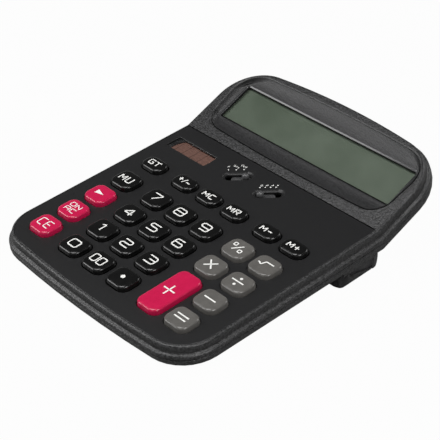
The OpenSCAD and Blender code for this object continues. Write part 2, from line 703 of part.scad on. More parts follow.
module rubber_feet() color([0.05, 0.05, 0.05]) place() intersection() {
    union() {
        for (side = [-1, 1]) {
            translate([side * 52, front_foot_y, -floor_z * depth_at(front_foot_y)])
                rotate([-floor_slope, 0, 0]) translate([0, 0, -4 - eps]) cylinder(r = 5, h = 4);
            translate([side * 48, rear_foot_y, -26]) cylinder(r = 4, h = 26 + pod_bottom_z - eps);
        }
    }
    rotate([-case_tilt, 0, 0]) translate([-100, -100, -case_lift]) cube([200, 300, 40]);
}

top_case();
key_plate();
display_bezel();
display_window();
lcd_panel();
lcd_holder();
lcd_ribbon();
solar_window();
solar_cell();
solar_leads();
dome_mat();
main_board();
chip_cover();
board_screws();
slider(rounding_x, rounding_rest);  // rounding_slider
wiper(rounding_x, rounding_rest);  // rounding_wiper
slider(decimal_x, decimal_rest);  // decimal_slider
wiper(decimal_x, decimal_rest);  // decimal_wiper
bottom_case();
case_screws();
button_cell();
positive_contact();
negative_contact();
battery_door();
stand();
rubber_feet();
for (c = [0:5]) for (r = [0:4]) if (KEY_NAMES[c][r] != "")
    key(c, r);
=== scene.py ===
import bpy
import bmesh
from math import asin, atan, cos, degrees, hypot, pi, radians, sin, tan
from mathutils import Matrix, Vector


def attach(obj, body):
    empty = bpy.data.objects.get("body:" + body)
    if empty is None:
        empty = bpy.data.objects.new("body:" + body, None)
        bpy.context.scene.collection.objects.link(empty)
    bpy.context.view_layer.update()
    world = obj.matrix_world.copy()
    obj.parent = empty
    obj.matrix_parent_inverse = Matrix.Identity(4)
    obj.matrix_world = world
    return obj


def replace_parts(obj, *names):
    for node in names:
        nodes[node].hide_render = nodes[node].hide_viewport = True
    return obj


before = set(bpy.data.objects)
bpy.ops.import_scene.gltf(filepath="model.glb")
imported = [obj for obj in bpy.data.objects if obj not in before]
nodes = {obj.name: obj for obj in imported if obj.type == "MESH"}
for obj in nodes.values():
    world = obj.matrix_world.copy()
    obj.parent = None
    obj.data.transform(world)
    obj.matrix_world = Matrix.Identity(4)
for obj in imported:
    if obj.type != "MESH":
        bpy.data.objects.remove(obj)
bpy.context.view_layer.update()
print("frame loaded:", len(nodes), "nodes")

# case measures in millimetres: x across, y from the front edge, z out of the key plate
case = dict(width=151.4, foldY=137.3, headLength=58.5, headTilt=radians(20),
            frontCorner=23, rearCorner=29, frontBow=740, rearBow=485,
            wallLow=9.5, wallHigh=6.4, wedge=0.18,
            shoulder=2.5, plateRim=1.1, plateCorner=1.5, plateDepth=1.2, plateToFold=0.5, roof=2.4)
feet = dict(frontY=14, frontDepth=12.8, rearY=115.5, rearDepth=22.4)


def depthAt(y):
    return 1 + case["wedge"] * (min(y, case["foldY"]) / case["foldY"] - 0.5)


tilt = atan((feet["rearDepth"] - feet["frontDepth"]) / (feet["rearY"] - feet["frontY"]))
lift = feet["frontDepth"] * cos(tilt) - feet["frontY"] * sin(tilt)
# the lower edge at the rear: its inset from the outline and its depth under the key plate
edgeIn, edgeDrop = 0.4, case["wallLow"] + 1.3
headRun = case["headLength"] - edgeIn
rearDrop = edgeDrop * depthAt(case["foldY"])
rearY = case["foldY"] + headRun * cos(case["headTilt"]) + rearDrop * sin(case["headTilt"])
rearZ = headRun * sin(case["headTilt"]) - rearDrop * cos(case["headTilt"])
centreY = (case["wallHigh"] * depthAt(0) * sin(tilt) + rearY * cos(tilt) - rearZ * sin(tilt)) / 2


def onPlate(x, y, z):
    # key plate frame in millimetres to the row frame in metres
    return Vector((x, y * cos(tilt) - z * sin(tilt) - centreY,
                   y * sin(tilt) + z * cos(tilt) + lift)) / 1000


def onHead(x, u, z):
    # u runs up the display head from the fold
    a = case["headTilt"]
    return onPlate(x, case["foldY"] + u * cos(a) - z * sin(a), u * sin(a) + z * cos(a))


def onFold(y):
    return abs(y - case["foldY"]) < 1e-6


def folded(x, y, h):
    # a point of the flat outline on the folded case, its height stretched by the wedge
    z = h * depthAt(y)
    if onFold(y):
        return onPlate(x, y - z * tan(case["headTilt"] / 2), z)
    return onPlate(x, y, z) if y < case["foldY"] else onHead(x, y - case["foldY"], z)


def toLinear(hexColour):
    # sRGB hex to linear colour
    parts = [int(hexColour[i:i + 2], 16) / 255 for i in (0, 2, 4)]
    return tuple(c / 12.92 if c <= 0.04045 else ((c + 0.055) / 1.055) ** 2.4 for c in parts) + (1,)


def addNode(tree, kind, settings=None, links=None):
    # one node: settings by socket or property name, links from other nodes' outputs
    node = tree.nodes.new(kind)
    for key, value in (settings or {}).items():
        if key in node.inputs:
            node.inputs[key].default_value = value
        else:
            setattr(node, key, value)
    for key, source in (links or {}).items():
        tree.links.new(source, node.inputs[key])
    return node


def startMaterial(name, colour, roughness, **shader):
    material = bpy.data.materials.new(name)
    material.use_nodes = True
    tree = material.node_tree
    main = tree.nodes["Principled BSDF"]
    main.inputs["Base Color"].default_value = toLinear(colour)
    main.inputs["Roughness"].default_value = roughness
    for key, value in shader.items():
        main.inputs[key].default_value = value
    place = addNode(tree, "ShaderNodeTexCoord").outputs["Object"]
    return material, tree, main, place


def speckle(tree, main, place, darkHex, lightHex, scale, contrast=(0.35, 0.65), height=0.0,
            roughSpread=None, detail=3):
    # grain of two tones, with bump and roughness from the same grain; scale is in grains per metre,
    # height in metres; moulded and printed grain is finer in fact and is drawn coarser so that it shows
    grain = addNode(tree, "ShaderNodeTexNoise", {"Scale": scale, "Detail": detail, "Roughness": 0.6},
                    {"Vector": place})
    tone = addNode(tree, "ShaderNodeValToRGB", links={"Fac": grain.outputs["Fac"]})
    tone.color_ramp.elements[0].position, tone.color_ramp.elements[1].position = contrast
    tone.color_ramp.elements[0].color = toLinear(darkHex)
    tone.color_ramp.elements[1].color = toLinear(lightHex)
    tree.links.new(tone.outputs["Color"], main.inputs["Base Color"])
    if roughSpread:
        spread = addNode(tree, "ShaderNodeMapRange", {"To Min": roughSpread[0], "To Max": roughSpread[1]},
                         {"Value": grain.outputs["Fac"]})
        tree.links.new(spread.outputs["Result"], main.inputs["Roughness"])
    if height:
        bump = addNode(tree, "ShaderNodeBump", {"Strength": 1.0, "Distance": height},
                       {"Height": grain.outputs["Fac"]})
        tree.links.new(bump.outputs["Normal"], main.inputs["Normal"])


def sparkErodedAbs():
    # moulded ABS from a spark-eroded tool: matt charcoal with a pebbled grain, drawn about 1 mm
    # across, which is coarser than the tool leaves it, so that it shows
    material, tree, main, place = startMaterial("sparkErodedAbs", "2a2a2b", 0.5)
    speckle(tree, main, place, "131313", "3a3a3b", 950, (0.39, 0.61), 0.00026, (0.26, 0.44))
    return material


def barAbsPaintedLighter():
    # the fold-out foot: the same ABS, smoother, and coloured lighter than the case as painted light on a
    # part that stands in shade
    material, tree, main, place = startMaterial("barAbsPaintedLighter", "3a3a3b", 0.34)
    speckle(tree, main, place, "343435", "414142", 1200, (0.35, 0.65), 0.00006, (0.28, 0.4))
    return material


def satinAbs():
    # smooth satin ABS of the key plate: even dark grey, very fine haze
    material, tree, main, place = startMaterial("satinAbs", "161617", 0.42)
    speckle(tree, main, place, "141415", "181819", 900, (0.3, 0.7), 0.00001, (0.38, 0.46))
    return material


def frameAbs():
    # the dished frame: the same ABS with a finer, shallower grain
    material, tree, main, place = startMaterial("frameAbs", "232324", 0.42)
    speckle(tree, main, place, "181819", "303031", 1200, (0.38, 0.62), 0.00016, (0.36, 0.52))
    return material


def blackInkAndShade():
    # black band on the back of the window, matt: partly a printed border, partly painted shade of the
    # window's edge walls, so it is wider at the left and front than at the right and rear
    material, tree, main, place = startMaterial("blackInkAndShade", "030303", 0.7)
    main.inputs["Specular IOR Level"].default_value = 0.12
    speckle(tree, main, place, "020202", "050505", 1500, (0.3, 0.7), 0.000003, (0.6, 0.8))
    return material


def polishedEdgeHighlight():
    # the same ABS as a narrow shiny edge round the window, its colour lighter than the frame's as a painted
    # highlight
    material, tree, main, place = startMaterial("polishedEdgeHighlight", "3a3a3b", 0.14)
    speckle(tree, main, place, "343435", "404041", 800, (0.3, 0.7), 0.000004, (0.1, 0.18))
    return material


def glossyKey(name, colour, dark, light):
    # injection-moulded key cap: gloss with a trace of waviness
    material, tree, main, place = startMaterial(name, colour, 0.22)
    speckle(tree, main, place, dark, light, 260, (0.3, 0.7), 0.00002, (0.18, 0.28), 2)
    return material


def printedInk():
    # white pad-printed ink, slightly uneven cover
    material, tree, main, place = startMaterial("printedInk", "e9e9e6", 0.45)
    speckle(tree, main, place, "e0e0dc", "f1f1ee", 1500, (0.3, 0.7), 0.000005, (0.4, 0.5))
    return material


def clearAcrylic():
    # clear cast sheet over the display: only its gloss shows
    material, tree, main, place = startMaterial("clearAcrylic", "0a0b0a", 0.06, Alpha=0.12, IOR=1.49)
    haze = addNode(tree, "ShaderNodeTexNoise", {"Scale": 90, "Detail": 2}, {"Vector": place})
    spread = addNode(tree, "ShaderNodeMapRange", {"To Min": 0.04, "To Max": 0.09},
                     {"Value": haze.outputs["Fac"]})
    tree.links.new(spread.outputs["Result"], main.inputs["Roughness"])
    return material


def liquidCrystal():
    # reflective liquid crystal cell at rest: grey-green with a faint mottled polariser
    material, tree, main, place = startMaterial("liquidCrystal", "667262", 0.35)
    speckle(tree, main, place, "5e6a5b", "6b7768", 45, (0.3, 0.7), 0.0, (0.3, 0.4), 2)
    return material


# strips of the solar cell, in metres
cellStrips = dict(pitch=0.0062, line=0.0004)


def amorphousCell():
    # amorphous silicon cell: brown-red strips parted by scribed lines
    material, tree, main, place = startMaterial("amorphousCell", "7f5f55", 0.3)
    axes = addNode(tree, "ShaderNodeSeparateXYZ", links={"Vector": place})
    strips = addNode(tree, "ShaderNodeMath", {"operation": "WRAP"}, {0: axes.outputs["X"]})
    strips.inputs[1].default_value, strips.inputs[2].default_value = cellStrips["pitch"], 0.0
    line = addNode(tree, "ShaderNodeMath", {"operation": "LESS_THAN"}, {0: strips.outputs["Value"]})
    line.inputs[1].default_value = cellStrips["line"]
    grain = addNode(tree, "ShaderNodeTexNoise", {"Scale": 700, "Detail": 3}, {"Vector": place})
    body = addNode(tree, "ShaderNodeMix", {"data_type": "RGBA"}, {"Factor": grain.outputs["Fac"]})
    body.inputs["A"].default_value, body.inputs["B"].default_value = toLinear("74574e"), toLinear("8a675c")
    both = addNode(tree, "ShaderNodeMix", {"data_type": "RGBA"}, {"Factor": line.outputs["Value"]})
    tree.links.new(body.outputs["Result"], both.inputs["A"])
    both.inputs["B"].default_value = toLinear("523b34")
    tree.links.new(both.outputs["Result"], main.inputs["Base Color"])
    return material


def grainy(name, colour, dark, light, roughness, scale, height=0.00002, **shader):
    # plain technical material with its own grain
    material, tree, main, place = startMaterial(name, colour, roughness, **shader)
    speckle(tree, main, place, dark, light, scale, (0.3, 0.7), height,
            (max(roughness - 0.08, 0.02), roughness + 0.08))
    return material


finish = dict(
    case=sparkErodedAbs(), bar=barAbsPaintedLighter(), plate=satinAbs(), frame=frameAbs(), edge=polishedEdgeHighlight(),
    keyBlack=glossyKey("keyBlack", "070707", "050505", "090909"),
    keyGrey=glossyKey("keyGrey", "5c5a57", "585653", "605e5b"),
    keyPink=glossyKey("keyPink", "bd1446", "b91244", "c11649"),
    ink=printedInk(), border=blackInkAndShade(), acrylic=clearAcrylic(), crystal=liquidCrystal(),
    cell=amorphousCell(),
    # moulded polystyrene tray, off-white
    tray=grainy("polystyreneTray", "d9d8d2", "d3d2cc", "dedcd7", 0.55, 600),
    # polyimide film connector, amber and glossy
    film=grainy("polyimideFilm", "b07a35", "a8722f", "b9833d", 0.3, 300),
    # silicone keypad mat, translucent grey
    silicone=grainy("siliconeMat", "b9b9b4", "b2b2ad", "c1c1bc", 0.6, 800),
    # glass-epoxy laminate with green solder mask
    laminate=grainy("solderMask", "1f4a26", "1b4322", "25522c", 0.35, 500),
    # epoxy blob over the chip
    resin=grainy("pottingResin", "131313", "101010", "171717", 0.2, 200),
    # zinc plated steel screws
    zinc=grainy("zincPlatedSteel", "b9bcc0", "aeb1b5", "c4c7cb", 0.32, 900, 0.000005, Metallic=1.0),
    # spring brass strip
    brass=grainy("springBrass", "c9a65a", "bd9a50", "d2b066", 0.3, 700, 0.000005, Metallic=1.0),
    # nickel plated steel can of the button cell
    nickel=grainy("nickelCan", "c6c6c4", "bcbcba", "d0d0ce", 0.25, 600, 0.000005, Metallic=1.0),
    # soft rubber pad, dull black
    rubber=grainy("rubberPad", "1b1b1b", "161616", "222222", 0.85, 1200, 0.00005),
    # insulated wire, red
    wire=grainy("wireInsulation", "9c1f1a", "931c18", "a6241f", 0.4, 400),
    # slider knob and runner: black acetal, smooth, coloured mid grey rather than black as a painted
    # highlight
    knob=grainy("acetalPaintedHighlight", "464647", "404041", "4c4c4d", 0.25, 400, 0.00001))
print("materials made:", len(finish))


def arc(cx, cy, r, start, end, steps):
    angles = [start + (end - start) * i / steps for i in range(steps + 1)]
    return [(cx + r * cos(angle), cy + r * sin(angle)) for angle in angles]


def roundBox(w, d, r, steps=8, x=0, y=0):
    return (arc(x + w / 2 - r, y + d / 2 - r, r, 0, pi / 2, steps)
            + arc(x + r - w / 2, y + d / 2 - r, r, pi / 2, pi, steps)
            + arc(x + r - w / 2, y + r - d / 2, r, pi, 1.5 * pi, steps)
            + arc(x + w / 2 - r, y + r - d / 2, r, 1.5 * pi, 2 * pi, steps))


def addLoop(bm, points):
    return [bm.verts.new(p) for p in points]


def bridge(bm, first, second):
    count = len(first)
    for i in range(count):
        j = (i + 1) % count
        bm.faces.new((first[i], first[j], second[j], second[i]))


def fillBetween(bm, *loops):
    # flat region bounded by closed loops of vertices, holes included
    edges = []
    for loop in loops:
        for i in range(len(loop)):
            pair = (loop[i], loop[(i + 1) % len(loop)])
            edges.append(bm.edges.get(pair) or bm.edges.new(pair))
    bmesh.ops.triangle_fill(bm, use_beauty=True, use_dissolve=False, edges=edges)


def finishMesh(bm, name, material, smoothAngle=35, weighted=True):
    bmesh.ops.recalc_face_normals(bm, faces=bm.faces)
    mesh = bpy.data.meshes.new(name)
    bm.to_mesh(mesh)
    bm.free()
    return finishObject(mesh, name, material, smoothAngle, weighted)


def finishObject(mesh, name, material, smoothAngle=35, weighted=True):
    mesh.shade_smooth()
    mesh.set_sharp_from_angle(angle=radians(smoothAngle))
    piece = bpy.data.objects.new(name, mesh)
    bpy.context.scene.collection.objects.link(piece)
    mesh.materials.clear()
    mesh.materials.append(material)
    if weighted:
        modifier = piece.modifiers.new("weighted", "WEIGHTED_NORMAL")
        modifier.keep_sharp = True
        modifier.weight = 80
        settle(piece)
    return piece


def settle(piece):
    # modifiers become plain mesh
    graph = bpy.context.evaluated_depsgraph_get()
    plain = bpy.data.meshes.new_from_object(piece.evaluated_get(graph))
    piece.modifiers.clear()
    piece.data = plain


def overPlate(point):
    # height over the key plate in millimetres
    return (point.z * 1000 - lift) * cos(tilt) - (point.y * 1000 + centreY) * sin(tilt)


# copies of CAD solids: distances in metres, angles in degrees, face band in millimetres
solidCopy = dict(mergeWithin=1e-6, flatWithin=0.6, squareOver=70, faceBand=0.01, plateEdge=0.00045)


def smoothCopy(node, name, material, smoothAngle=28, soften=0.0):
    # a merged copy of a CAD solid with its flats joined and its curves shaded smooth;
    # soften rounds the square edges at the height of the key plate's face
    bm = bmesh.new()
    bm.from_mesh(nodes[node].data)
    bmesh.ops.remove_doubles(bm, verts=bm.verts, dist=solidCopy["mergeWithin"])
    bmesh.ops.dissolve_limit(bm, angle_limit=radians(solidCopy["flatWithin"]), verts=bm.verts,
                             edges=bm.edges)
    bmesh.ops.recalc_face_normals(bm, faces=bm.faces)
    if soften:
        edges = [e for e in bm.edges
                 if e.is_manifold and degrees(e.calc_face_angle()) > solidCopy["squareOver"]
                 and all(abs(overPlate(v.co)) < solidCopy["faceBand"] for v in e.verts)]
        bmesh.ops.bevel(bm, geom=edges, offset=soften, segments=3, profile=0.5, affect="EDGES",
                        clamp_overlap=True)
    mesh = bpy.data.meshes.new(name)
    bm.to_mesh(mesh)
    bm.free()
    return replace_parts(finishObject(mesh, name, material, smoothAngle), node)


def frontEdge(inset, corner, bow):
    # right corner, left corner and the bowed edge between them, for the case and the key plate
    x = case["width"] / 2 - case["frontCorner"]
    angle = asin(x / (case["frontBow"] - case["frontCorner"]))
    y = case["frontBow"] - (case["frontBow"] - case["frontCorner"]) * cos(angle)
    r, down = case["frontCorner"] - inset, 1.5 * pi
    return (arc(x, y, r, down + angle, 2 * pi, corner), arc(-x, y, r, pi, down - angle, corner),
            arc(0, case["frontBow"], case["frontBow"] - inset, down - angle, down + angle, bow)[1:-1])


def caseOutline(inset, corner=20, bow=12):
    # flat outline of the case, starting on the bowed front edge's right corner
    right, left, front = frontEdge(inset, corner, bow)
    length = case["foldY"] + case["headLength"]
    halfWidth = case["width"] / 2 - inset
    x = case["width"] / 2 - case["rearCorner"]
    angle = asin(x / (case["rearBow"] - case["rearCorner"]))
    y = length - case["rearBow"] + (case["rearBow"] - case["rearCorner"]) * cos(angle)
    r, bowR = case["rearCorner"] - inset, case["rearBow"] - inset
    rear = arc(x, y, r, 0, pi / 2 - angle, corner)
    rear += arc(0, length - case["rearBow"], bowR, pi / 2 - angle, pi / 2 + angle, bow)[1:]
    rear += arc(-x, y, r, pi / 2 + angle, pi, corner)[1:]
    return right + [(halfWidth, case["foldY"])] + rear + [(-halfWidth, case["foldY"])] + left + front


def plateOutline(gap=0.0, corner=20, bow=12, smallCorner=6):
    inset = case["shoulder"] + case["plateRim"] - gap
    right, left, front = frontEdge(inset, corner, bow)
    r = case["plateCorner"]
    x, y = case["width"] / 2 - inset - r, case["foldY"] - case["plateToFold"] + gap - r
    return (right + arc(x, y, r, 0, pi / 2, smallCorner) + arc(-x, y, r, pi / 2, pi, smallCorner)
            + left + front)


# dished frame: rim outline, window outline, the drop between them and the ledge it sits on
bezel = dict(width=135.4, depth=42.6, footY=7.1, frontCorner=11, rearCorner=18, bow=1.2, flare=0.0014,
             windowWidth=127.8, windowDepth=24.7, windowY=16.4, windowCorner=1.2, lip=0.9, drop=3,
             rimDrop=0.1, seat=2, seatGap=0.05, land=0.9, underGrow=1.4, dishSteps=14,
             # shiny edge round the window: growth of its outline and depth under the dish
             edge=[(0.0, 1), (0.0, 0.6), (0.1, 0.48), (0.8, 0.1)])


def frameRing(w, d, rear, front, bow, steps=20):
    bx, by = w / 2 - rear, d / 2 - rear
    fx, fy = w / 2 - front, front - d / 2

    def bowed(a, b, rise):
        return [(a[0] + (b[0] - a[0]) * i / steps, a[1] + (b[1] - a[1]) * i / steps
                 + rise * 4 * i / steps * (1 - i / steps)) for i in range(1, steps)]
    # the corners stop a little short of the bowed sides
    edge = radians(2)
    return (arc(bx, by, rear, 0, pi / 2 - edge, steps) + bowed((bx, d / 2), (-bx, d / 2), bow)
            + arc(-bx, by, rear, pi / 2 + edge, pi, steps) + arc(-fx, fy, front, pi, 1.5 * pi - edge, steps)
            + bowed((-fx, -d / 2), (fx, -d / 2), -bow) + arc(fx, fy, front, 1.5 * pi + edge, 2 * pi, steps))


def frameFoot(gap=0.0):
    middle = bezel["footY"] + bezel["depth"] / 2
    ring = frameRing(bezel["width"] + 2 * gap, bezel["depth"] + 2 * gap, bezel["rearCorner"] + gap,
                     bezel["frontCorner"] + gap, bezel["bow"])
    return [(x * (1 + bezel["flare"] * y), y + middle) for x, y in ring]


def windowRing(grow=0.0):
    middle = bezel["windowY"] + bezel["windowDepth"] / 2
    ring = frameRing(bezel["windowWidth"] + 2 * grow, bezel["windowDepth"] + 2 * grow,
                     bezel["windowCorner"] + grow, bezel["windowCorner"] + grow, 0)
    return [(x, y + middle) for x, y in ring]


upperCase = dict(
    # inset from the outline and height over the key plate: from the rim over the shoulder, the cove
    # and the bead down to the shadow gap at the joint, then the inside
    profile=[(3.5, 0), (3.2, -0.03), (2.9, -0.12), (2.62, -0.28), (2.38, -0.5), (2.18, -0.78), (2.04, -1.1),
             (1.95, -1.45), (1.9, -1.85), (1.88, -2.3), (1.9, -3.0), (1.92, -3.6), (1.86, -4.0),
             (1.7, -4.3), (1.42, -4.52), (1.05, -4.72), (0.66, -4.95), (0.33, -5.24), (0.12, -5.6),
             (0.02, -6.0), (0, -6.4), (0, -6.85), (0.06, -7.02), (0.18, -7.1), (1.2, -7.12), (1.2, -7.6),
             (4.5, -7.6), (4.5, -2.4)],
    pocketGap=0.1, keyOpening=(129, 122, 14), keyOpeningY=71.5,
    # gap to the display frame and height: softened edge, then down to the ledge
    frameEdge=[(1.0, 0), (0.88, -0.04), (0.4, -0.3), (0.31, -0.4), (0.3, -0.6)],
    frameGap=0.3, ledge=0.75)


def makeTopCase():
    profile = upperCase["profile"]
    bm = bmesh.new()
    rings = [addLoop(bm, [folded(x, y, h) for x, y in caseOutline(inset)]) for inset, h in profile]
    for first, second in zip(rings, rings[1:]):
        bridge(bm, first, second)
    folds = [i for i, (x, y) in enumerate(caseOutline(profile[0][0])) if onFold(y)]
    right, left = folds[0], folds[-1]

    def halves(ring):
        return ring[:right + 1] + ring[left:], ring[right:left + 1]
    topPad, topHead = halves(rings[0])
    underPad, underHead = halves(rings[-1])
    # pocket for the key plate and the opening below it
    pocket = plateOutline(upperCase["pocketGap"])
    opening = roundBox(*upperCase["keyOpening"], y=upperCase["keyOpeningY"])
    loops = [addLoop(bm, [onPlate(x, y, 0) for x, y in pocket]),
             addLoop(bm, [onPlate(x, y, -case["plateDepth"]) for x, y in pocket])]
    holes = [addLoop(bm, [onPlate(x, y, -case["plateDepth"]) for x, y in opening]),
             addLoop(bm, [folded(x, y, -case["roof"]) for x, y in opening])]
    fillBetween(bm, topPad, loops[0])
    bridge(bm, loops[0], loops[1])
    fillBetween(bm, loops[1], holes[0])
    bridge(bm, holes[0], holes[1])
    fillBetween(bm, underPad, holes[1])
    # softened edge round the frame, the ledge it sits on and the opening inside
    edges = upperCase["frameEdge"] + [
        (upperCase["frameGap"], -bezel["seat"]), (-upperCase["ledge"], -bezel["seat"]),
        (-upperCase["ledge"], -case["roof"] * depthAt(case["foldY"]))]
    loops = [addLoop(bm, [onHead(x, u, z) for x, u in frameFoot(gap)]) for gap, z in edges]
    fillBetween(bm, topHead, loops[0])
    for first, second in zip(loops, loops[1:]):
        bridge(bm, first, second)
    fillBetween(bm, underHead, loops[-1])
    piece = finishMesh(bm, "upperCase", finish["case"], 40)
    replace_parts(piece, "top_case")
    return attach(piece, "housing")


def makeFrame():
    # window edge, the dish rising to the rim, then the underside
    foot, crest = frameFoot(), windowRing(bezel["lip"])
    drop, rimDrop, seat = bezel["drop"], bezel["rimDrop"], bezel["seatGap"] - bezel["seat"]
    outlines = [(windowRing(grow), -drop - below) for grow, below in bezel["edge"]]
    for i in range(bezel["dishSteps"] + 1):
        t = 1 - i / bezel["dishSteps"]
        between = [(a[0] + (b[0] - a[0]) * t, a[1] + (b[1] - a[1]) * t) for a, b in zip(foot, crest)]
        outlines.append((between, -rimDrop - (drop - rimDrop) * (2 * t - t * t)))
    outlines += [(foot, seat), (frameFoot(-bezel["land"]), seat),
                 (windowRing(bezel["underGrow"]), outlines[0][1])]
    bm = bmesh.new()
    rings = [addLoop(bm, [onHead(x, u, z) for x, u in outline]) for outline, z in outlines]
    for i, ring in enumerate(rings):
        bridge(bm, ring, rings[(i + 1) % len(rings)])
    piece = finishMesh(bm, "dishedFrame", finish["frame"], 50)
    # the faces between the first rings are the shiny edge, in the lighter colour of the painted highlight
    piece.data.materials.append(finish["edge"])
    for face in piece.data.polygons:
        if face.index < len(bezel["edge"]) * len(foot):
            face.material_index = 1
    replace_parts(piece, "display_bezel")
    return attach(piece, "housing")


# black band on the window, partly printed border and partly painted shade, wider where the edge walls are
# shaded: its widths inside the frame, and its depth under the dish
borderAndShadeBand = dict(left=0.9, right=0.3, front=1.0, rear=0.4, corner=0.6, overlap=0.8,
                     top=1.02, under=1.045)


def makeWindowBorderAndShade():
    outer = windowRing(borderAndShadeBand["overlap"])
    x0, x1 = (borderAndShadeBand["left"] - bezel["windowWidth"] / 2,
              bezel["windowWidth"] / 2 - borderAndShadeBand["right"])
    y0, y1 = (bezel["windowY"] + borderAndShadeBand["front"],
              bezel["windowY"] + bezel["windowDepth"] - borderAndShadeBand["rear"])
    inner = roundBox(x1 - x0, y1 - y0, borderAndShadeBand["corner"], x=(x0 + x1) / 2, y=(y0 + y1) / 2)
    bm = bmesh.new()
    heights = [-bezel["drop"] - borderAndShadeBand[side] for side in ("top", "under")]
    loops = [[addLoop(bm, [onHead(x, u, z) for x, u in ring]) for z in heights]
             for ring in (outer, inner)]
    fillBetween(bm, loops[0][0], loops[1][0])
    fillBetween(bm, loops[0][1], loops[1][1])
    bridge(bm, loops[0][0], loops[0][1])
    bridge(bm, loops[1][0], loops[1][1])
    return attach(finishMesh(bm, "windowBorderAndShade", finish["border"], 30), "housing")


makeTopCase()
makeFrame()
makeWindowBorderAndShade()
for node, name, material, slotName, body in (
        ("bottom_case", "lowerCase", "case", "case_black", "housing"),
        ("key_plate", "keyPlate", "plate", "plate_black", "housing"),
        ("stand", "footBar", "bar", "case_black", "stand"),
        ("battery_door", "batteryDoor", "case", "case_black", "battery_door"),
        ("rounding_slider", "roundingKnob", "knob", "slider_black", "rounding_switch"),
        ("decimal_slider", "decimalKnob", "knob", "slider_black", "decimal_switch")):
    soften = solidCopy["plateEdge"] if node == "key_plate" else 0
    copy = smoothCopy(node, name, finish[material], soften=soften)
    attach(copy, body)
print("case, frame and plate made")

# remaining solids keep their shape and take a material
dressing = dict(display_window="acrylic", solar_window="acrylic", lcd_panel="crystal", lcd_holder="tray",
                lcd_ribbon="film", solar_cell="cell", solar_leads="wire", dome_mat="silicone",
                main_board="laminate", chip_cover="resin", board_screws="zinc", case_screws="zinc",
                rounding_wiper="brass", decimal_wiper="brass", positive_contact="brass",
                negative_contact="brass", button_cell="nickel", rubber_feet="rubber")
for node, material in dressing.items():
    solid = nodes[node]
    for i in range(max(len(solid.material_slots), 1)):
        if not solid.material_slots:
            solid.data.materials.append(finish[material])
        solid.material_slots[i].link = "OBJECT"
        solid.material_slots[i].material = finish[material]
print("solids dressed:", len(dressing))

# key caps, in millimetres on the key plate; the plunger ends above its dome, so that it stays clear
# of the dome when the key is pressed
keys = dict(width=15.8, depth=14.3, smallDepth=10.8, tallDepth=33.2, rowPitch=18.1, firstRow=22.5,
            topExtra=1.9, corner=4.6, height=2.8, columns=[-54, -29, -9.5, 10, 34.4, 53.9],
            flange=0.8, flangeTop=-1.3, flangeLow=-2.3, skin=2.2, ceiling=1.2, ceilingBevel=0.4,
            stemLow=-1.85, stem=2.2, stemFlat=0.05, smallestCorner=0.6, cornerSteps=10, crownInset=0.0006,
            # inset from the cap's foot and height over the plate
            profile=[(0, -1.3), (0, -0.3), (0.1, 0.35), (0.22, 1.05), (0.35, 1.7), (0.44, 1.92),
                     (0.6, 2.13), (0.82, 2.31), (1.1, 2.46), (1.5, 2.58), (2.1, 2.67), (3.0, 2.74),
                     (4.0, 2.78), (4.6, 2.79)])
layout = [["key_clear_entry", "key_on_clear", "key_backspace", "key_mark_up", "key_grand_total"],
          ["key_0", "key_1", "key_4", "key_7", "key_sign_change"],
          ["key_00", "key_2", "key_5", "key_8", "key_memory_clear"],
          ["key_point", "key_3", "key_6", "key_9", "key_memory_recall"],
          ["key_plus", None, "key_multiply", "key_percent", "key_memory_minus"],
          ["key_equals", "key_minus", "key_divide", "key_square_root", "key_memory_plus"]]
keyCells = [(name, column, row) for column, names in enumerate(layout)
            for row, name in enumerate(names) if name]


def keyPlace(column, row):
    # centre, depth and finish of a key
    rows = [keys["firstRow"] + r * keys["rowPitch"] + (keys["topExtra"] if r == 4 else 0) for r in range(5)]
    y, depth = rows[row], keys["smallDepth"] if row == 4 else keys["depth"]
    if column == 4 and row == 0:
        y, depth = (rows[0] + rows[1]) / 2, keys["tallDepth"]
    pink = (column == 0 and row < 3) or (column == 4 and row == 0)
    grey = column > 3 and row < 4
    return keys["columns"][column], y, depth, "keyPink" if pink else "keyGrey" if grey else "keyBlack"


def capHeight(x, y, depth):
    # height of the crowned top over the plate, from the distance to the cap's edge
    dx = abs(x) - (keys["width"] / 2 - keys["corner"])
    dy = abs(y) - (depth / 2 - keys["corner"])
    inset = keys["corner"] - (hypot(max(dx, 0), max(dy, 0)) + min(max(dx, dy), 0))
    points = keys["profile"]
    for (a, low), (b, high) in zip(points, points[1:]):
        if a <= inset <= b and b > a:
            return low + (high - low) * (inset - a) / (b - a)
    return keys["height"]


def makeKey(name, column, row):
    x0, y0, depth, material = keyPlace(column, row)
    bm = bmesh.new()
    wide, skin, stem, bevel = keys["flange"], keys["skin"], keys["stem"], keys["ceilingBevel"]

    def ringAt(w, d, r, h):
        outline = roundBox(w, d, r, keys["cornerSteps"])
        return addLoop(bm, [onPlate(x0 + x, y0 + y, h) for x, y in outline])
    # plunger, hollow underside, flange, then the crowned outside
    rings = [ringAt(2 * stem, 2 * stem, stem - keys["stemFlat"], h)
             for h in (keys["stemLow"], keys["ceiling"])]
    steps = [(skin + bevel, keys["ceiling"]), (skin, keys["ceiling"] - bevel), (skin, keys["flangeLow"]),
             (-wide, keys["flangeLow"]), (-wide, keys["flangeTop"])] + keys["profile"]
    for inset, h in steps:
        r = max(keys["corner"] - inset, keys["smallestCorner"])
        rings.append(ringAt(keys["width"] - 2 * inset, depth - 2 * inset, r, h))
    for first, second in zip(rings, rings[1:]):
        bridge(bm, first, second)
    # the crown closes over a smaller face, the plunger ends flat
    crown = bm.faces.new(rings[-1])
    bmesh.ops.inset_region(bm, faces=[crown], thickness=keys["crownInset"])
    bm.faces.new(list(reversed(rings[0])))
    piece = finishMesh(bm, name.replace("key_", "cap_"), finish[material], 60)
    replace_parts(piece, name)
    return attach(piece, name)


for cell in keyCells:
    makeKey(*cell)
print("key caps made")

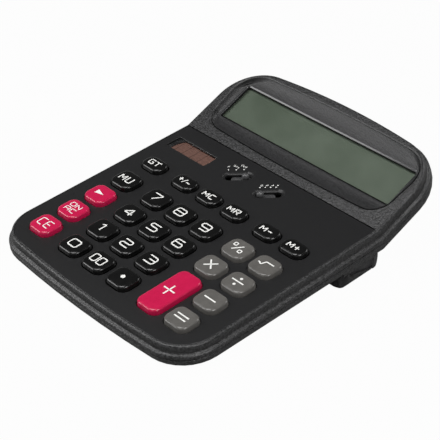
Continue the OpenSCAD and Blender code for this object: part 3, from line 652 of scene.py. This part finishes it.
# strokes of the printed legends on a unit box, with 0, 0 at its lower left
strokes = {
    "0": [[(0, 0), (1, 0), (1, 1), (0, 1), (0, 0)]],
    "1": [[(0.2, 0.8), (0.55, 1), (0.55, 0)]],
    "2": [[(0, 1), (1, 1), (1, 0.5), (0, 0.5), (0, 0), (1, 0)]],
    "3": [[(0, 1), (1, 1), (1, 0), (0, 0)], [(0.3, 0.5), (1, 0.5)]],
    "4": [[(0.72, 0), (0.72, 1), (0, 0.28), (1, 0.28)]],
    "5": [[(1, 1), (0, 1), (0, 0.55), (1, 0.55), (1, 0), (0, 0)]],
    "6": [[(0.85, 1), (0, 1), (0, 0), (1, 0), (1, 0.55), (0, 0.55)]],
    "7": [[(0, 1), (1, 1), (0.35, 0)]],
    "8": [[(0, 0), (1, 0), (1, 1), (0, 1), (0, 0)], [(0, 0.52), (1, 0.52)]],
    "9": [[(0.15, 0), (1, 0), (1, 1), (0, 1), (0, 0.45), (1, 0.45)]],
    "A": [[(0, 0), (0, 1), (1, 1), (1, 0)], [(0, 0.42), (1, 0.42)]],
    "C": [[(1, 1), (0, 1), (0, 0), (1, 0)]],
    "E": [[(1, 1), (0, 1), (0, 0), (1, 0)], [(0, 0.5), (0.85, 0.5)]],
    "F": [[(1, 1), (0, 1), (0, 0)], [(0, 0.5), (0.85, 0.5)]],
    "G": [[(1, 1), (0, 1), (0, 0), (1, 0), (1, 0.48), (0.55, 0.48)]],
    "M": [[(0, 0), (0, 1), (0.5, 0.3), (1, 1), (1, 0)]],
    "N": [[(0, 0), (0, 1), (1, 0), (1, 1)]],
    "O": [[(0, 0), (1, 0), (1, 1), (0, 1), (0, 0)]],
    "R": [[(0, 0), (0, 1), (1, 1), (1, 0.48), (0, 0.48)], [(0.5, 0.48), (1, 0)]],
    "T": [[(0, 1), (1, 1)], [(0.5, 1), (0.5, 0)]],
    "U": [[(0, 1), (0, 0), (1, 0), (1, 1)]],
    "+": [[(0, 0.5), (1, 0.5)], [(0.5, 0), (0.5, 1)]],
    "-": [[(0, 0.5), (1, 0.5)]],
    "=": [[(0, 0), (1, 0)], [(0, 1), (1, 1)]],
    "x": [[(0, 0), (1, 1)], [(0, 1), (1, 0)]],
    "/": [[(0, 0), (1, 1)]],
    "root": [[(0, 0.45), (0.14, 0.45), (0.26, 0), (0.42, 1), (1, 1)]]}

# digit is width, height and line width, lift and sink the ink over and under the surface, all in
# millimetres; corner radii are shares of the shorter side
legend = dict(digit=(6.1, 5.3, 0.76), lift=0.02, sink=0.05, softCorner=0.24, sharpCorner=0.05,
              sharp="147MNxR/", spotSteps=24, arrow=[(-2.9, 1.65), (-2.9, -1.65), (2.9, 0)])
# stroke name, middle x and y, width, height and line width in millimetres
marks = {
    "key_00": [("0", -2.5, 0, 3.8, 5.3, 0.7), ("0", 2.5, 0, 3.8, 5.3, 0.7)],
    "key_clear_entry": [("C", -2.55, 0, 3.5, 5.3, 0.6), ("E", 2.55, 0, 3.5, 5.3, 0.6)],
    "key_on_clear": [("O", -2.2, 2.1, 3.2, 2.9, 0.5), ("N", 2.2, 2.1, 3.2, 2.9, 0.5),
                     ("A", -2.2, -2.1, 3.2, 2.9, 0.5), ("C", 2.2, -2.1, 3.2, 2.9, 0.5)],
    "key_mark_up": [("M", -2.5, 0, 3.7, 4.6, 0.7), ("U", 2.7, 0, 3.3, 4.6, 0.7)],
    "key_grand_total": [("G", -2.2, 0, 3.2, 3.5, 0.66), ("T", 2.2, 0, 3.6, 3.5, 0.66)],
    "key_memory_clear": [("M", -2.3, 0, 3.4, 3.5, 0.66), ("C", 2.3, 0, 3.0, 3.5, 0.66)],
    "key_memory_recall": [("M", -2.3, 0, 3.4, 3.5, 0.66), ("R", 2.3, 0, 3.0, 3.5, 0.66)],
    "key_memory_minus": [("M", -2.1, 0, 3.4, 3.5, 0.66), ("-", 2.4, -0.1, 2.6, 1, 0.66)],
    "key_memory_plus": [("M", -2.1, 0, 3.4, 3.5, 0.66), ("+", 2.4, -0.1, 2.8, 2.8, 0.66)],
    "key_sign_change": [("+", -3.0, 0.3, 2.6, 2.6, 0.7), ("/", 0, 0, 1.6, 3.6, 0.6),
                        ("-", 3.0, -0.4, 2.6, 1, 0.7)],
    "key_plus": [("+", 0, 0, 7.8, 7.8, 0.82)],
    "key_minus": [("-", 0, 0, 7.8, 1, 0.82)],
    "key_equals": [("=", 0, 0, 7.8, 2.4, 0.82)],
    "key_multiply": [("x", 0, 0, 5.2, 5.2, 0.82)],
    "key_divide": [("-", 0, 0, 7.8, 1, 0.78)],
    "key_percent": [("/", 0, 0, 4.2, 5.2, 0.7), ("0", -2.9, 1.6, 2.0, 2.0, 0.62),
                    ("0", 2.9, -1.6, 2.0, 2.0, 0.62)],
    "key_square_root": [("root", 0, 0, 8.7, 4.0, 0.75)]}
# filled dots: middle x and y, radius
spots = {"key_point": [(0, 0, 1.25)], "key_divide": [(0, 2.5, 0.8), (0, -2.5, 0.8)]}
inkThickness = 0.00007  # metres, before the ink is draped


def strokeTree():
    # named inputs: line width, ink thickness and corner radius, all in metres
    tree = bpy.data.node_groups.new("inkStroke", "GeometryNodeTree")
    tree.interface.new_socket("Geometry", in_out="INPUT", socket_type="NodeSocketGeometry")
    for name, value in (("Line Width", 0.001), ("Ink Thickness", inkThickness), ("Corner Radius", 0.001)):
        socket = tree.interface.new_socket(name, in_out="INPUT", socket_type="NodeSocketFloat")
        socket.default_value = value
    tree.interface.new_socket("Ink", in_out="INPUT", socket_type="NodeSocketMaterial")
    tree.interface.new_socket("Geometry", in_out="OUTPUT", socket_type="NodeSocketGeometry")
    start = addNode(tree, "NodeGroupInput")
    path = addNode(tree, "GeometryNodeMeshToCurve", links={"Mesh": start.outputs["Geometry"]})
    rounded = addNode(tree, "GeometryNodeFilletCurve", {"mode": "POLY", "Count": 5, "Limit Radius": True},
                      {"Curve": path.outputs["Curve"], "Radius": start.outputs["Corner Radius"]})
    dense = addNode(tree, "GeometryNodeResampleCurve", {"mode": "LENGTH", "Length": 0.0003},
                    {"Curve": rounded.outputs["Curve"]})
    level = addNode(tree, "GeometryNodeSetCurveNormal", {"mode": "Z_UP"}, {"Curve": dense.outputs["Curve"]})
    section = addNode(tree, "GeometryNodeCurvePrimitiveQuadrilateral", {"mode": "RECTANGLE"},
                      {"Width": start.outputs["Line Width"], "Height": start.outputs["Ink Thickness"]})
    ribbon = addNode(tree, "GeometryNodeCurveToMesh", {"Fill Caps": True},
                     {"Curve": level.outputs["Curve"], "Profile Curve": section.outputs["Curve"]})
    real = addNode(tree, "GeometryNodeRealizeInstances", links={"Geometry": ribbon.outputs["Mesh"]})
    inked = addNode(tree, "GeometryNodeSetMaterial",
                    links={"Geometry": real.outputs["Geometry"], "Material": start.outputs["Ink"]})
    addNode(tree, "NodeGroupOutput", links={"Geometry": inked.outputs["Geometry"]})
    return tree


inkTree = strokeTree()
patchHalf = inkThickness / 2
socketOf = {item.name: item.identifier for item in inkTree.interface.items_tree
            if item.in_out == "INPUT"}


def strokeMesh(lines, width, corner):
    # flat ribbons along lines given in metres
    mesh = bpy.data.meshes.new("strokes")
    points, edges = [], []
    for line in lines:
        closed = len(line) > 2 and line[0] == line[-1]
        body = line[:-1] if closed else line
        start = len(points)
        points += [(x, y, 0) for x, y in body]
        edges += [(start + i, start + i + 1) for i in range(len(body) - 1)]
        if closed:
            edges.append((start + len(body) - 1, start))
    mesh.from_pydata(points, edges, [])
    carrier = bpy.data.objects.new("strokes", mesh)
    bpy.context.scene.collection.objects.link(carrier)
    modifier = carrier.modifiers.new("ink", "NODES")
    modifier.node_group = inkTree
    modifier[socketOf["Line Width"]] = width
    modifier[socketOf["Corner Radius"]] = corner
    modifier[socketOf["Ink"]] = finish["ink"]
    bpy.context.view_layer.update()
    graph = bpy.context.evaluated_depsgraph_get()
    made = bpy.data.meshes.new_from_object(carrier.evaluated_get(graph))
    bpy.data.objects.remove(carrier)
    return made


def inkPiece(name, parts, patches, surface, body, x0=0.0, y0=0.0):
    # parts are strokes, patches are filled outlines; surface gives the height under a point
    bm = bmesh.new()
    for glyph, cx, cy, w, h, line in parts:
        lines = [[((cx + (px - 0.5) * w) / 1000, (cy + (py - 0.5) * h) / 1000) for px, py in path]
                 for path in strokes[glyph]]
        corner = legend["sharpCorner"] if glyph in legend["sharp"] else legend["softCorner"]
        made = strokeMesh(lines, line / 1000, min(w, h) * corner / 1000)
        bm.from_mesh(made)
        bpy.data.meshes.remove(made)
    for outline in patches:
        for z in (-patchHalf, patchHalf):
            bm.faces.new([bm.verts.new((x / 1000, y / 1000, z)) for x, y in outline])
        bm.faces.ensure_lookup_table()
        low, high = bm.faces[-2], bm.faces[-1]
        bridge(bm, list(low.verts), list(high.verts))
    # draped over the surface
    for v in bm.verts:
        x, y, shift = v.co.x * 1000, v.co.y * 1000, legend["lift"] if v.co.z > 0 else -legend["sink"]
        v.co = onPlate(x0 + x, y0 + y, surface(x, y) + shift)
    piece = finishMesh(bm, name, finish["ink"], 40, False)
    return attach(piece, body)


for name, column, row in keyCells:
    x0, y0, depth, _ = keyPlace(column, row)
    digit = name.replace("key_", "")
    parts = marks.get(name, [(digit, 0, 0) + legend["digit"]] if digit.isdigit() else [])
    patches = [arc(x, y, r, 0, 2 * pi, legend["spotSteps"])[:-1] for x, y, r in spots.get(name, [])]
    if name == "key_backspace":
        patches.append(legend["arrow"])
    inkPiece(name.replace("key_", "legend_"), parts, patches,
             lambda x, y, d=depth: capHeight(x, y, d), name, x0, y0)

# position dots and their small figures on the key plate; figure is width, height and line width;
# each row has its figures' shift from the dot, then a place and the figures for each position
switchMarks = dict(dot=0.42, dotSteps=16, figure=(0.85, 1.2, 0.28), pitch=1.4,
                   rows=[((-2.0, 2.1), [((-22.4, 122.3), "F"), ((-19.4, 125.3), "5/4"),
                                        ((-16.5, 128.3), "CUT")]),
                         ((-0.5, 1.9), [((2.0, 122.6), "0"), ((4.0, 124.6), "2"),
                                        ((6.1, 126.6), "3"), ((8.2, 128.6), "4")])])


def makeSwitchMarks():
    parts, patches = [], []
    for (right, up), positions in switchMarks["rows"]:
        for (x, y), figures in positions:
            patches.append(arc(x, y, switchMarks["dot"], 0, 2 * pi, switchMarks["dotSteps"])[:-1])
            for i, figure in enumerate(figures):
                along = (i - len(figures) / 2 + 0.5) * switchMarks["pitch"]
                parts.append((figure, x + right + along, y + up) + switchMarks["figure"])
    inkPiece("switchMarks", parts, patches, lambda x, y: 0.0, "housing")


makeSwitchMarks()
print("legends and marks made")

# pale floor and soft lights, in metres and watts: name, place, size and power of each light
studio = dict(floorSize=6.0, floorColour="8c8c8b", backdrop=1.0,
              ambient=0.10, horizon=0.75, horizonTop=0.34, glow=0.972,
              lights=[("overhead", (-0.22, -0.3, 1.0), 0.55, 6.0), ("left", (-0.85, -0.7, 0.55), 0.5, 5.0),
                      ("rear", (0.3, 1.0, 0.8), 0.5, 3.0), ("right", (0.8, -0.12, 1.05), 0.5, 8.0)])


def makeFloor():
    bm = bmesh.new()
    half = studio["floorSize"] / 2
    bm.faces.new([bm.verts.new((x * half, y * half, 0)) for x, y in ((-1, -1), (1, -1), (1, 1), (-1, 1))])
    mesh = bpy.data.meshes.new("floor")
    bm.to_mesh(mesh)
    bm.free()
    floor = bpy.data.objects.new("floor", mesh)
    bpy.context.scene.collection.objects.link(floor)
    # matt paper sweep; seen directly it glows nearly to white and keeps a trace of the shadow
    material, tree, main, _ = startMaterial("paperSweep", studio["floorColour"], 0.9)
    rays = addNode(tree, "ShaderNodeLightPath")
    seen = addNode(tree, "ShaderNodeMath", {"operation": "MAXIMUM"},
                   {0: rays.outputs["Is Camera Ray"], 1: rays.outputs["Is Transmission Ray"]})
    share = addNode(tree, "ShaderNodeMath", {"operation": "MULTIPLY"}, {0: seen.outputs["Value"]})
    share.inputs[1].default_value = studio["glow"]
    glow = addNode(tree, "ShaderNodeEmission", {"Color": (1, 1, 1, 1), "Strength": 1.0})
    blend = addNode(tree, "ShaderNodeMixShader", links={0: share.outputs["Value"], 1: main.outputs["BSDF"],
                                                       2: glow.outputs["Emission"]})
    tree.links.new(blend.outputs["Shader"], tree.nodes["Material Output"].inputs["Surface"])
    mesh.materials.append(material)


def makeLights():
    world = bpy.data.worlds.new("studio")
    bpy.context.scene.world = world
    world.use_nodes = True
    tree = world.node_tree
    sky = tree.nodes["Background"]
    sky.inputs["Color"].default_value = toLinear("ffffff")
    rays = addNode(tree, "ShaderNodeLightPath")
    # bright near the horizon like a paper sweep, dark above it
    aim = addNode(tree, "ShaderNodeTexCoord")
    height = addNode(tree, "ShaderNodeSeparateXYZ", links={"Vector": aim.outputs["Generated"]})
    dome = addNode(tree, "ShaderNodeMapRange", {"From Min": 0.0, "From Max": studio["horizonTop"],
                                                "To Min": studio["horizon"], "To Max": studio["ambient"]},
                   {"Value": height.outputs["Z"]})
    level = addNode(tree, "ShaderNodeMapRange", {"To Max": studio["backdrop"]},
                    {"Value": rays.outputs["Is Camera Ray"], "To Min": dome.outputs["Result"]})
    tree.links.new(level.outputs["Result"], sky.inputs["Strength"])
    for name, place, size, power in studio["lights"]:
        lamp = bpy.data.lights.new(name, "AREA")
        lamp.shape, lamp.size, lamp.energy = "SQUARE", size, power
        holder = bpy.data.objects.new(name, lamp)
        holder.location = place
        holder.rotation_euler = (-Vector(place)).to_track_quat("-Z", "Y").to_euler()
        bpy.context.scene.collection.objects.link(holder)


# lens and sensor in millimetres, place and clipping in metres, turn in degrees
viewpoint = dict(lens=114.524, sensor=36, clip=(0.01, 20), place=(0.455192, -0.418120, 0.414361),
                 turn=(56.9328, -0.4699, 47.8744))


def makeCamera():
    data = bpy.data.cameras.new("camera")
    data.sensor_width = viewpoint["sensor"]
    data.lens = viewpoint["lens"]
    data.clip_start, data.clip_end = viewpoint["clip"]
    camera = bpy.data.objects.new("camera", data)
    bpy.context.scene.collection.objects.link(camera)
    camera.location = viewpoint["place"]
    camera.rotation_euler = [radians(a) for a in viewpoint["turn"]]
    bpy.context.scene.camera = camera


makeFloor()
makeLights()
makeCamera()
bpy.context.scene.view_settings.view_transform = "Standard"
print("studio made")
